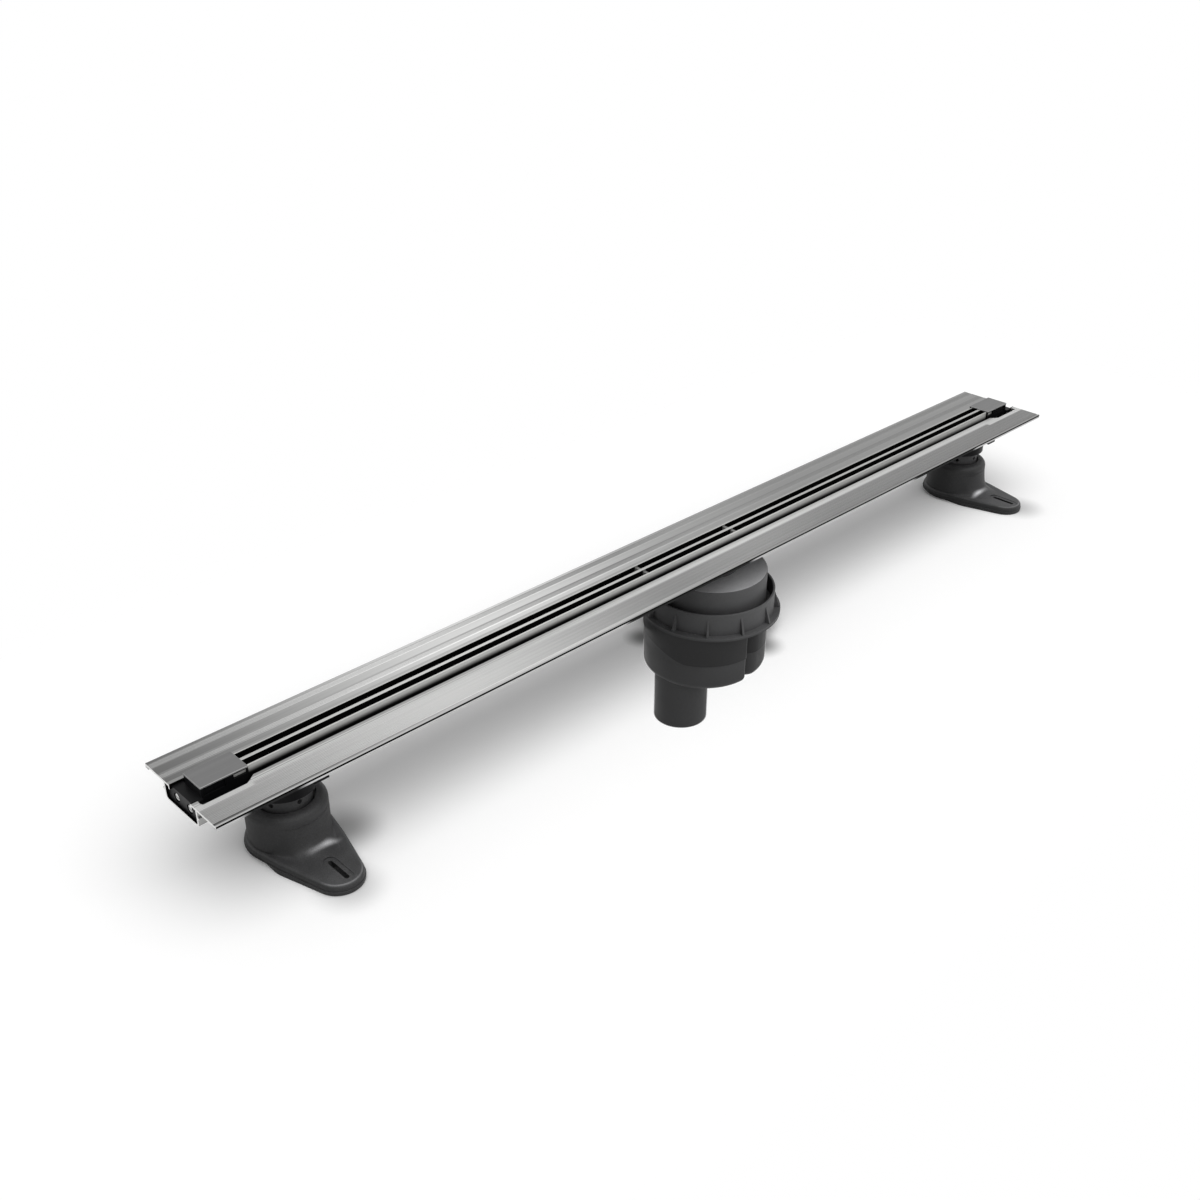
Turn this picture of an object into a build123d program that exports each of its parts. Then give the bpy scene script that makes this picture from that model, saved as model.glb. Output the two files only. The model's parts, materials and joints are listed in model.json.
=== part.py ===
from build123d import *
import os
from math import floor

# Shower channel drain: a slim floor channel with a flange on both sides, a lift-out slotted
# insert, end blocks, two height-adjustable feet in rubber boots and a water trap below.
# X runs along the channel, Y across it (the toes of the feet point to -Y) and Z up.
# Sizes are in millimetres. Places are given from the middle of the channel at the flange's top,
# and at the end every piece is moved so that the origin is the centre of the outlet's lower end.

# Channel profile
channel_length = 1000.0
flange_half_width = 47.0
flange_thickness = 1.8
lip_half_opening = 14.0
lip_width = 4.0
hem_thickness = 1.5
hem_depth = 4.0
trough_half_width = 22.2
trough_depth = 16.0
trough_wall = 1.8
trough_corner = 4.0
clip_ledge_depth = 7.0
clip_ledge_height = 1.5
clip_ledge_reach = 1.5
cut_margin = 1.0

# Fine ribs on the flange
rib_pitch = 1.5
rib_width = 0.9
rib_depth = 0.35
edge_bead_width = 1.4
edge_strip_width = 2.0
edge_step_depth = 0.4
back_smooth_inner = 22.0
back_smooth_outer = 29.0
back_rib_start = 37.5
rib_margin = 0.6

# Sealing strips under the outer edges of the flange
seal_width = 3.8
seal_height = 1.6

# Cut-backs of the flange beside the end blocks
notch_from_end = 5.0
notch_length = 35.0
notch_slope = 8.5
notch_run_out = 17.0
notch_round = 5.0
notch_corner = 1.5

# Slotted insert
insert_top = 4.7
insert_overlap = 14.0
slot_half_width = 8.0
rail_thickness = 1.2
rail_foot = 4.0
rail_round = 0.5
bar_width = 3.2
bar_height = 5.0
bar_shortening = 2.0
spacer_places = (-62.5, 50.0)
spacer_thickness = 3.0
spacer_drop = 1.8

# End blocks and their cover plates
block_length = 36.0
block_half_width = 11.2
block_top = 4.8
block_wall = 1.8
block_rail_gap = 0.3
window_sill = 0.4
window_head = 0.9
window_end_wall = 0.9
post_offset = 11.3
post_width = 6.4
left_window_wall = 1.7
left_window_sill = 2.0
left_window_depth = 1.2
window_rib_height = 0.8
window_rib_reach = 0.6
cover_thickness = 1.2
cover_overhang = 0.3
cover_round = 0.4

# End caps, set in the ends of the trough
cap_face_depth = 1.7
cap_length = 10.0
cap_drop = 1.8
cap_clearance = 0.2
cap_screw_y = 8.6
cap_screw_z = -8.5
cap_recess_radius = 3.6
cap_recess_depth = 4.0
screw_head_radius = 3.1
screw_head_height = 2.0
screw_head_round = 1.0
screw_slot_width = 0.8
screw_slot_depth = 0.9
screw_shank_radius = 1.6
screw_length = 15.0
screw_gap = 0.1
screw_hole_spare = 1.0

# Drain axis and inlet
drain_x = 27.2
inlet_flange_radius = 18.0
inlet_flange_height = 1.5
inlet_tube_radius = 15.8
inlet_bore_radius = 13.8
inlet_tube_length = 18.0
inlet_seat_radius = 14.9
inlet_seat_depth = 2.0
inlet_clearance = 0.3
gasket_height = 2.0
gasket_radius = 22.6

# Trap housing, the round cover of the trap
housing_radius = 50.3
housing_top = -25.8
housing_bottom = -67.0
housing_wall = 3.4
housing_roof = 2.6
housing_round = 1.0
collar_radius = 23.0
collar_overlap = 4.0
housing_seal_z = -63.6
seal_ring_height = 3.2
seal_ring_depth = 1.5
seal_clearance = 0.02

# Drain body
body_bore_clearance = 0.3
ring_radius = 58.2
ring_wall = 2.0
ring_top = -44.5
ring_floor = -60.0
ring_round = 0.6
disc_overhang = 5.8
disc_top = -65.0
disc_bottom = -68.0
gusset_count = 12
gusset_phase = 10.0
gusset_thickness = 2.0
gusset_top = -49.0
gusset_edge = 0.8
gusset_bury = 1.0
lobe_split_x = 19.5
left_lobe_x = 18.0
left_lobe_radius = 54.9
left_lobe_corner = 4.0
right_lobe_radius = 53.6
right_lobe_corner = 14.0
lobe_bottom = -121.8
lobe_step_z = -96.0
lobe_step = 0.8
lobe_wall = 2.6
lobe_edge_round = 6.0
outlet_x = -8.8
outlet_radius = 25.0
outlet_bore = 22.8
outlet_end = -170.0
outlet_root_radius = 26.6
outlet_root_height = 2.5
weir_radius = 20.5
weir_bore = 18.5
weir_top = -69.0
weir_clearance = 0.3
passage_half_width = 26.7

# Dip tube and sieve
dip_radius = 12.4
dip_bore = 10.8
dip_head_radius = 13.5
dip_head_height = 16.0
dip_rim_radius = 14.7
dip_rim_height = 1.0
dip_bottom = -110.0
dip_seal_drop = 7.0
dip_seal_height = 2.4
dip_seal_depth = 1.2
sieve_radius = 14.6
sieve_thickness = 1.0
sieve_slots = 8
sieve_slot_length = 7.0
sieve_slot_width = 1.6
sieve_slot_radius = 8.6
sieve_hole_radius = 2.6

# Feet
foot_from_end = 76.0
bracket_half_length = 20.0
bracket_half_width = 26.9
bracket_thickness = 4.0
bracket_arm_width = 12.0
bracket_arm_thickness = 3.0
bracket_hook_height = 2.5
bracket_gap = 0.2
bracket_tab_reach = 3.1
bracket_tab_top = -17.0
bracket_tab_bottom = -20.0
boss_radius = 25.0
boss_height = 10.0
boss_lip = 2.0
spindle_radius = 20.0
spindle_head_radius = 22.0
spindle_bottom = -72.0
spindle_bore = 15.0
spindle_crown = 4.0
pin_hole_radius = 1.9
pin_hole_count = 6
pin_hole_z = -36.5
running_gap = 0.3
sleeve_radius = 24.7
boot_radius = 30.0
boot_top = -41.4
boot_mouth_radius = 22.0
boot_lip = 2.8
boot_floor = -74.0
sole_z = -80.0
boot_shoulder = 6.0
heel_radius = 33.0
waist_y = -22.0
waist_radius = 28.8
toe_y = -62.0
toe_radius = 18.5
toe_top = -71.8
sole_heel_radius = 28.5
sole_waist_y = -24.0
sole_waist_radius = 29.2
sole_toe_radius = 18.2
sole_rim_height = 3.0
sole_rim = 0.6
instep_heights = (-50.0, -57.0, -62.0, -66.0, -69.0, -71.0, -72.2)
instep_reaches = (30.3, 31.2, 32.6, 34.6, 38.0, 44.0, 54.0)
instep_radii = (29.5, 27.5, 25.0, 22.5, 20.0, 17.5, 15.6)
instep_margin = 0.05
toe_edge_round = 3.0
slot_start_y = -49.7
slot_end_y = -73.6
slot_width = 3.6
slot_pad_margin = 3.4
slot_pad_depth = 0.4

# Places that follow from the sizes above
half_length = channel_length / 2
block_end = half_length - cap_length
block_start = block_end - block_length
insert_half_length = block_start + insert_overlap
post_start = block_start + post_offset
post_end = post_start + post_width
left_window_end = block_end - left_window_wall
foot_distance = half_length - foot_from_end
disc_radius = ring_radius + disc_overhang
floor_z = trough_wall - trough_depth
trough_inner = trough_half_width - trough_wall
rail_outer = slot_half_width + rail_thickness
bar_bottom = insert_top - bar_height
foot_top_z = floor_z + rail_thickness
inlet_flange_top = floor_z + inlet_flange_height
gasket_bottom = -trough_depth - gasket_height
body_bore = housing_radius + body_bore_clearance
seat_z = inlet_flange_top - inlet_seat_depth
rim_top = seat_z + dip_rim_height
bracket_bottom = -trough_depth - bracket_thickness
boss_bottom = bracket_bottom - boss_height
boss_cavity = spindle_head_radius + running_gap
head_seat_z = boss_bottom + boss_lip
head_top_z = bracket_bottom - running_gap
origin_shift = Pos(-outlet_x, 0, -outlet_end)


def block(x0, x1, y0, y1, z0, z1):
    """A box between two corners."""
    centre = Pos((x0 + x1) / 2, (y0 + y1) / 2, (z0 + z1) / 2)
    return centre * Box(x1 - x0, y1 - y0, z1 - z0)


def rect(y0, y1, z0, z1):
    """A rectangle in a section across the channel."""
    return Pos((y0 + y1) / 2, (z0 + z1) / 2) * Rectangle(y1 - y0, z1 - z0)


def along(section, x0, x1):
    """A section across the channel, drawn in Y and Z, carried from x0 to x1."""
    plane = Plane(origin=(x0, 0, 0), x_dir=(0, 1, 0), z_dir=(1, 0, 0))
    return extrude(plane * section, amount=x1 - x0)


def ring(x, outer, inner, z0, z1):
    """A round ring, or a disc where the inner radius is 0, about a vertical axis at x."""
    outline = Circle(outer)
    if inner > 0:
        outline = outline - Circle(inner)
    return Pos(x, 0, z0) * extrude(outline, amount=z1 - z0)


def turned(x, points):
    """A turned piece: an outline of radius and height about a vertical axis at x."""
    outline = make_face(Polyline(*points, close=True))
    return Pos(x, 0, 0) * revolve(Plane.XZ * outline, Axis.Z)


def hull(*discs):
    """The outline round a row of circles, each given as its Y and its radius."""
    return make_hull([edge for y, radius in discs for edge in (Pos(0, y) * Circle(radius)).edges()])


def both_ends(piece):
    """The piece of the near end and its mirror image at the far end."""
    return {"near": piece, "far": mirror(piece, about=Plane.YZ)}


def trough_section(half_width, bottom, top, corner):
    """A trough's cross-section, filled, with rounded lower corners."""
    outline = rect(-half_width, half_width, bottom, top)
    return fillet(outline.vertices().sort_by(Axis.Y)[:2], corner)


def rib_grooves(first, last):
    """Fine V grooves in the flange's top from one distance off the middle to another."""
    count = floor((last - first) / rib_pitch)
    groove = make_face(Polyline((-rib_width / 2, 0), (0, -rib_depth), (rib_width / 2, 0), close=True))
    return [Pos(first + rib_pitch * (step + 0.5), 0) * groove for step in range(count)]


def profile_section():
    """The extruded channel: flange, hems, trough and clip ledges, with ribs in the top."""
    section = rect(-flange_half_width, flange_half_width, -flange_thickness, 0)
    section += trough_section(trough_half_width, -trough_depth, -flange_thickness, trough_corner)
    ledge_end = trough_half_width + clip_ledge_reach
    section += rect(-ledge_end, ledge_end, -clip_ledge_depth - clip_ledge_height, -clip_ledge_depth)
    section -= trough_section(trough_inner, floor_z, -flange_thickness, trough_corner - trough_wall)
    section -= rect(-lip_half_opening, lip_half_opening, -flange_thickness, 0)
    for inner in (lip_half_opening, -lip_half_opening - hem_thickness):
        section += rect(inner, inner + hem_thickness, -hem_depth, -flange_thickness)

    rib_end = flange_half_width - edge_bead_width - edge_strip_width
    lip_end = lip_half_opening + lip_width
    grooves = rib_grooves(-rib_end, -lip_end - rib_margin)
    grooves += rib_grooves(-lip_end - rib_width, -lip_end + rib_margin)
    grooves += rib_grooves(back_smooth_inner, back_smooth_outer)
    grooves += rib_grooves(back_rib_start, rib_end)
    step = rect(-flange_half_width + edge_bead_width, -rib_end, -edge_step_depth, 0)
    return section - grooves - step


def notch_cutter():
    """The cut-back of the flange beside the near block, on the -Y side, with an S-shaped end."""
    start = -half_length + notch_from_end
    end = start + notch_length
    inside = -lip_half_opening + hem_thickness
    points = [(start, inside), (start, -trough_inner), (end, -trough_inner),
              (end + notch_slope, -lip_half_opening), (end + notch_slope + notch_run_out, inside)]
    outline = make_face(Polyline(*points, close=True))
    corners = outline.vertices()
    square = corners.filter_by(lambda v: abs(v.X - start) < 0.01 and v.Y < inside - 0.1)
    swept = corners.filter_by(lambda v: end - 0.01 < v.X < end + notch_slope + 0.01)
    outline = fillet(square, notch_corner)
    swept = outline.vertices().filter_by(
        lambda v: any(abs(v.X - s.X) + abs(v.Y - s.Y) < 0.01 for s in swept))
    outline = fillet(swept, notch_round)
    return Pos(0, 0, -hem_depth) * extrude(outline, amount=2 * hem_depth)


def channel_profile():
    """The aluminium channel with its two cut-backs and the round hole over the drain."""
    piece = along(profile_section(), -half_length, half_length)
    piece -= notch_cutter()
    piece -= mirror(notch_cutter(), about=Plane.YZ)
    hole_radius = inlet_tube_radius + inlet_clearance
    return piece - ring(drain_x, hole_radius, 0, -trough_depth - cut_margin, floor_z + cut_margin)


def flange_seal(side):
    """A black sealing strip under one outer edge of the flange."""
    inner = side * (flange_half_width - seal_width)
    outer = side * flange_half_width
    low, high = sorted((inner, outer))
    return along(rect(low, high, -flange_thickness - seal_height, -flange_thickness),
                 -half_length, half_length)


def rail(side):
    """An upright rail of the insert with a foot turned inwards, cut clear of the inlet ring."""
    section = rect(slot_half_width, rail_outer, floor_z, insert_top)
    section += rect(slot_half_width - rail_foot, rail_outer, floor_z, foot_top_z)
    crown = section.vertices().sort_by(Axis.Y)[-2:]
    section = fillet(crown, rail_round)
    piece = along(section, -insert_half_length, insert_half_length)
    reach = inlet_flange_radius + inlet_clearance
    piece -= block(drain_x - reach, drain_x + reach, 0, 2 * rail_outer,
                   floor_z - cut_margin, max(foot_top_z, inlet_flange_top) + inlet_clearance)
    return piece if side > 0 else mirror(piece, about=Plane.XZ)


def centre_bar():
    """The bar between the two slots."""
    section = rect(-bar_width / 2, bar_width / 2, bar_bottom, insert_top)
    section = fillet(section.vertices().sort_by(Axis.Y)[-2:], rail_round)
    half = insert_half_length - bar_shortening
    return along(section, -half, half)


def insert_spacers():
    """Cross webs that hold the rails apart and carry the bar."""
    section = rect(-slot_half_width, slot_half_width, foot_top_z, insert_top - spacer_drop)
    section -= rect(-bar_width / 2, bar_width / 2, bar_bottom, insert_top)
    webs = [along(section, x - spacer_thickness / 2, x + spacer_thickness / 2)
            for x in spacer_places]
    return Compound(children=solids_of(webs))


def solids_of(pieces):
    """All solids in a list of pieces."""
    return [solid for piece in pieces for solid in piece.solids()]


def end_block():
    """The near plastic block that holds the ends of the insert, with windows in its sides."""
    inside = slot_half_width - block_rail_gap
    wall_inner = block_half_width - block_wall
    rail_end = insert_half_length + block_rail_gap
    piece = block(-block_end, -rail_end, -block_half_width, block_half_width, floor_z, block_top)
    for side in (-1, 1):
        low, high = sorted((side * wall_inner, side * block_half_width))
        wall = block(-rail_end, -block_start, low, high, floor_z, block_top)
        piece += wall
    piece += block(-rail_end, -block_start, -inside, inside, foot_top_z + block_rail_gap, bar_bottom)
    outside = block_half_width + cut_margin
    window = block(-post_start, -block_start - window_end_wall, wall_inner - cut_margin, outside,
                   window_sill, block_top - window_head)
    back = block_half_width - left_window_depth
    recess = block(-left_window_end, -post_end, back, outside,
                   -left_window_sill, block_top - window_head)
    recess -= block(-left_window_end, -post_end, back, back + window_rib_reach,
                    0, window_rib_height)
    for cutter in (window, recess):
        piece -= [cutter, mirror(cutter, about=Plane.XZ)]
    for side in (-1, 1):
        piece -= screw_hole(side, screw_shank_radius + screw_gap)
    return piece


def screw_hole(side, radius):
    """A hole along X at one of the near cap's screws."""
    return along(Pos(side * cap_screw_y, cap_screw_z) * Circle(radius), -half_length,
                 -half_length + cap_recess_depth + screw_length + screw_hole_spare)


def block_cover():
    """The flat plate on the near block."""
    reach = block_half_width + cover_overhang
    plate = block(-block_end - cover_overhang, -block_start, -reach, reach,
                  block_top, block_top + cover_thickness)
    return fillet(plate.faces().sort_by(Axis.Z)[-1].edges(), cover_round)


def end_cap():
    """The near end cap: a plug that fills the trough's end up to the end block."""
    face = -half_length + cap_face_depth
    middle = lip_half_opening - cap_clearance
    inner = trough_inner - cap_clearance
    plug = trough_section(inner, floor_z, -hem_depth - cap_clearance, trough_corner - trough_wall)
    plug += rect(-middle, middle, -hem_depth - cap_clearance, -cap_drop)
    piece = along(plug, face, -block_end)
    for side in (-1, 1):
        piece -= screw_hole(side, screw_shank_radius + screw_gap)
        piece -= along(Pos(side * cap_screw_y, cap_screw_z) * Circle(cap_recess_radius),
                       -half_length, -half_length + cap_recess_depth)
    return piece


def cap_screws():
    """The two screws of the near cap, with slotted heads."""
    screws = []
    seat = -half_length + cap_recess_depth
    for side in (-1, 1):
        place = Pos(side * cap_screw_y, cap_screw_z)
        head = along(place * Circle(screw_head_radius), seat - screw_head_height, seat)
        head = fillet(head.edges().sort_by(Axis.X)[0], screw_head_round)
        head -= along(place * Rectangle(2 * screw_head_radius, screw_slot_width),
                      seat - screw_head_height, seat - screw_head_height + screw_slot_depth)
        screws.append(head + along(place * Circle(screw_shank_radius), seat, seat + screw_length))
    return Compound(children=solids_of(screws))


def inlet_ring():
    """The flanged ring clamped in the trough's floor, with a seat for the dip tube."""
    bottom = floor_z - inlet_tube_length
    return turned(drain_x, [
        (inlet_seat_radius, inlet_flange_top), (inlet_flange_radius, inlet_flange_top),
        (inlet_flange_radius, floor_z), (inlet_tube_radius, floor_z),
        (inlet_tube_radius, bottom), (inlet_bore_radius, bottom),
        (inlet_bore_radius, seat_z), (inlet_seat_radius, seat_z)])


def trap_housing():
    """The round cover of the trap with the collar that takes the inlet ring."""
    collar_bore = inlet_tube_radius + inlet_clearance
    inner = housing_radius - housing_wall
    roof = housing_top - housing_roof
    collar_bottom = roof - collar_overlap
    piece = turned(drain_x, [
        (collar_bore, gasket_bottom), (collar_radius, gasket_bottom), (collar_radius, housing_top),
        (housing_radius, housing_top), (housing_radius, housing_bottom), (inner, housing_bottom),
        (inner, roof), (collar_radius, roof), (collar_radius, collar_bottom),
        (collar_bore, collar_bottom)])
    crown = [edge for edge in piece.edges().filter_by(GeomType.CIRCLE)
             if abs(edge.radius - housing_radius) < 0.01 and abs(edge.center().Z - housing_top) < 0.01]
    piece = fillet(crown, housing_round)
    groove_bottom = housing_seal_z - seal_ring_height / 2
    return piece - ring(drain_x, housing_radius + cut_margin, housing_radius - seal_ring_depth,
                        groove_bottom, groove_bottom + seal_ring_height)


def housing_seal():
    """The sealing ring between the housing's skirt and the drain body."""
    bottom = housing_seal_z - seal_ring_height / 2
    return ring(drain_x, body_bore - seal_clearance, housing_radius - seal_ring_depth,
                bottom, bottom + seal_ring_height)


def lobes(inset, apart):
    """The plan of the lower chamber: two part-circles that meet in a groove on both sides."""
    span = 2 * left_lobe_radius
    left = Pos(left_lobe_x, 0) * Circle(left_lobe_radius - inset)
    left &= Pos(lobe_split_x - apart - span, 0) * Rectangle(2 * span, 2 * span)
    left = fillet(left.vertices(), left_lobe_corner)
    right = Pos(drain_x, 0) * Circle(right_lobe_radius - inset)
    right &= Pos(lobe_split_x + apart + span, 0) * Rectangle(2 * span, 2 * span)
    right = fillet(right.vertices(), right_lobe_corner - inset)
    return left, right


def chamber(inset, apart, bottom, top, edge_round):
    """The solids of both lobes, rounded at the bottom where they have an edge round."""
    pieces = [extrude(Pos(0, 0, bottom) * outline, amount=top - bottom)
              for outline in lobes(inset, apart)]
    if edge_round > 0:
        pieces = [fillet(piece.faces().sort_by(Axis.Z)[0].edges(), edge_round) for piece in pieces]
    return pieces


def gussets():
    """Triangular ribs that brace the disc against the ring."""
    outline = make_face(Polyline(
        (ring_radius - gusset_bury, gusset_top), (ring_radius, gusset_top),
        (disc_radius - gusset_edge, disc_top), (disc_radius - gusset_edge, disc_top - gusset_bury),
        (ring_radius - gusset_bury, disc_top - gusset_bury), close=True))
    rib = extrude(Plane.XZ * outline, amount=gusset_thickness / 2, both=True)
    turns = [gusset_phase + 360 / gusset_count * step for step in range(gusset_count)]
    return [Pos(drain_x, 0, 0) * Rot(0, 0, turn) * rib for turn in turns]


def drain_body():
    """The lower half of the trap: ring, braced disc and two-lobed chamber."""
    piece = turned(drain_x, [
        (body_bore, ring_floor), (ring_radius - ring_wall, ring_floor),
        (ring_radius - ring_wall, ring_top), (ring_radius, ring_top),
        (ring_radius, disc_top), (disc_radius, disc_top), (disc_radius, disc_bottom),
        (body_bore, disc_bottom)])
    rims = [edge for edge in piece.edges().filter_by(GeomType.CIRCLE)
            if abs(edge.center().Z - ring_top) < 0.01]
    piece = fillet(rims, ring_round)
    piece += gussets()

    floor_top = lobe_bottom + lobe_wall
    outer = chamber(lobe_step, 0, lobe_bottom, disc_bottom, lobe_edge_round)
    outer += chamber(0, 0, lobe_step_z, disc_bottom, 0)
    outer.append(ring(outlet_x, outlet_root_radius, 0, lobe_bottom, lobe_bottom + lobe_edge_round))
    inner = chamber(lobe_step + lobe_wall, lobe_wall, floor_top, disc_bottom,
                    lobe_edge_round - lobe_wall)
    passage = block(outlet_x, drain_x + dip_head_radius, -passage_half_width, passage_half_width,
                    floor_top, disc_bottom)
    piece += outer
    piece -= inner
    piece -= passage
    return piece - ring(outlet_x, weir_radius + weir_clearance, 0, lobe_bottom - cut_margin, floor_top)


def outlet_pipe():
    """The outlet spigot with its collar under the drain body and the weir pipe above it."""
    collar_bottom = lobe_bottom - outlet_root_height
    return turned(outlet_x, [
        (outlet_bore, outlet_end), (outlet_radius, outlet_end), (outlet_radius, collar_bottom),
        (outlet_root_radius, collar_bottom), (outlet_root_radius, lobe_bottom),
        (weir_radius, lobe_bottom), (weir_radius, weir_top), (weir_bore, weir_top),
        (weir_bore, collar_bottom), (outlet_bore, collar_bottom)])


def dip_tube():
    """The lift-out tube that dips into the water and keeps the smell back."""
    head_bottom = seat_z - dip_head_height
    piece = turned(drain_x, [
        (dip_bore, rim_top), (dip_rim_radius, rim_top), (dip_rim_radius, seat_z),
        (dip_head_radius, seat_z), (dip_head_radius, head_bottom), (dip_radius, head_bottom),
        (dip_radius, dip_bottom), (dip_bore, dip_bottom)])
    groove_top = seat_z - dip_seal_drop
    return piece - ring(drain_x, dip_head_radius + cut_margin, dip_head_radius - dip_seal_depth,
                        groove_top - dip_seal_height, groove_top)


def dip_tube_seal():
    """The sealing ring in the dip tube's head."""
    groove_top = seat_z - dip_seal_drop
    return ring(drain_x, inlet_bore_radius - seal_clearance, dip_head_radius - dip_seal_depth,
                groove_top - dip_seal_height, groove_top)


def hair_sieve():
    """A flat slotted disc on top of the dip tube, with a hole in the middle to lift it by."""
    disc = Circle(sieve_radius) - Circle(sieve_hole_radius)
    for step in range(sieve_slots):
        slot = Pos(sieve_slot_radius, 0) * SlotOverall(sieve_slot_length, sieve_slot_width)
        disc -= Rot(0, 0, 360 / sieve_slots * step) * slot
    return Pos(drain_x, 0, rim_top) * extrude(disc, amount=sieve_thickness)


def foot_bracket(x):
    """The bracket clipped under the trough, with the boss that holds the spindle's head."""
    piece = block(-bracket_half_length, bracket_half_length,
                  -bracket_half_width, bracket_half_width, bracket_bottom, -trough_depth)
    arm_inner = bracket_half_width - bracket_arm_thickness
    hook_inner = trough_half_width + bracket_gap
    for turn in (0, 180):
        for end in (-bracket_half_length, bracket_half_length - bracket_arm_width):
            arm = block(end, end + bracket_arm_width, arm_inner, bracket_half_width,
                        bracket_bottom, -clip_ledge_depth)
            arm += block(end, end + bracket_arm_width, hook_inner, bracket_half_width,
                         -clip_ledge_depth, -clip_ledge_depth + bracket_hook_height)
            piece += Rot(0, 0, turn) * arm
        tab = block(bracket_half_length - bracket_arm_width, bracket_half_length,
                    -bracket_half_width - bracket_tab_reach, -bracket_half_width,
                    bracket_tab_bottom, bracket_tab_top)
        piece += Rot(0, 0, turn) * tab
    piece += ring(0, boss_radius, 0, boss_bottom, bracket_bottom)
    piece -= ring(0, boss_cavity, 0, head_seat_z, bracket_bottom)
    piece -= ring(0, spindle_radius + running_gap, 0, boss_bottom, head_seat_z)
    return Pos(x, 0, 0) * piece


def foot_spindle(x):
    """The threaded spindle with its captive head and holes for an adjusting pin."""
    piece = ring(0, spindle_radius, 0, spindle_bottom, head_seat_z)
    piece += ring(0, spindle_head_radius, 0, head_seat_z, head_top_z)
    piece -= ring(0, spindle_bore, 0, spindle_bottom, head_seat_z - spindle_crown)
    hole = Plane.YZ * Circle(pin_hole_radius)
    for step in range(pin_hole_count):
        drill = extrude(hole, amount=spindle_radius + cut_margin)
        piece -= Pos(0, 0, pin_hole_z) * Rot(0, 0, 360 / pin_hole_count * (step + 0.5)) * drill
    return Pos(x, 0, 0) * piece


def foot_sleeve(x):
    """The threaded sleeve that runs on the spindle inside the boot."""
    return ring(x, sleeve_radius, spindle_radius + running_gap,
                boot_floor, boot_top - boot_lip - running_gap)


def foot_boot(x):
    """The rubber boot: a round leg that flows into a slotted toe."""
    leg = ring(0, boot_radius, 0, sole_z, boot_top)
    leg = fillet(leg.faces().sort_by(Axis.Z)[-1].edges(), boot_shoulder)
    sole = hull((0, sole_heel_radius), (sole_waist_y, sole_waist_radius), (toe_y, sole_toe_radius))
    plan = hull((0, heel_radius), (waist_y, waist_radius), (toe_y, toe_radius))
    rim_top = sole_z + sole_rim_height
    rim = loft([Pos(0, 0, sole_z) * sole, Pos(0, 0, rim_top) * plan])
    narrow = hull((0, heel_radius - sole_rim), (waist_y, waist_radius - sole_rim),
                  (toe_y, toe_radius - sole_rim))
    toe = Pos(0, 0, rim_top) * extrude(narrow, amount=toe_top - rim_top)
    toe = fillet(toe.faces().sort_by(Axis.Z)[-1].edges(), toe_edge_round)

    sections = [Pos(0, 0, z) * hull((0, boot_radius - instep_margin), (radius - reach, radius))
                for z, reach, radius in zip(instep_heights, instep_reaches, instep_radii)]
    piece = leg + rim + toe + loft(sections)

    middle = (slot_start_y + slot_end_y) / 2
    length = slot_start_y - slot_end_y
    slot = Pos(0, middle) * Rot(0, 0, 90) * SlotOverall(length, slot_width)
    pad = offset(slot, slot_pad_margin)
    piece -= Pos(0, 0, sole_z) * extrude(slot, amount=toe_top - sole_z + cut_margin)
    piece -= Pos(0, 0, toe_top - slot_pad_depth) * extrude(pad, amount=slot_pad_depth + cut_margin)
    piece -= ring(0, sleeve_radius + running_gap, 0, boot_floor, boot_top - boot_lip)
    piece -= ring(0, boot_mouth_radius, 0, boot_top - boot_lip, boot_top)
    return Pos(x, 0, 0) * piece


def all_nodes():
    """Every piece of the drain under its own name."""
    nodes = {
        "channel_profile": channel_profile(),
        "flange_seal_front": flange_seal(-1),
        "flange_seal_back": flange_seal(1),
        "insert_rail_front": rail(-1),
        "insert_rail_back": rail(1),
        "insert_centre_bar": centre_bar(),
        "insert_spacers": insert_spacers(),
        "inlet_ring": inlet_ring(),
        "inlet_gasket": ring(drain_x, gasket_radius, inlet_tube_radius + inlet_clearance,
                             gasket_bottom, -trough_depth),
        "trap_housing": trap_housing(),
        "housing_seal": housing_seal(),
        "drain_body": drain_body(),
        "outlet_pipe": outlet_pipe(),
        "dip_tube": dip_tube(),
        "dip_tube_seal": dip_tube_seal(),
        "hair_sieve": hair_sieve(),
    }
    for name, make in (("end_block", end_block), ("block_cover", block_cover),
                       ("end_cap", end_cap), ("cap_screws", cap_screws)):
        for end, piece in both_ends(make()).items():
            nodes[f"{name}_{end}"] = piece
    for end, x in (("near", -foot_distance), ("far", foot_distance)):
        nodes[f"foot_bracket_{end}"] = foot_bracket(x)
        nodes[f"foot_spindle_{end}"] = foot_spindle(x)
        nodes[f"foot_sleeve_{end}"] = foot_sleeve(x)
        nodes[f"foot_boot_{end}"] = foot_boot(x)
    return nodes


os.makedirs("parts", exist_ok=True)
for node_name, node in all_nodes().items():
    export_step(origin_shift * node, f"parts/{node_name}.step")
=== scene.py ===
import json
from math import cos, pi, radians, sin

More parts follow.
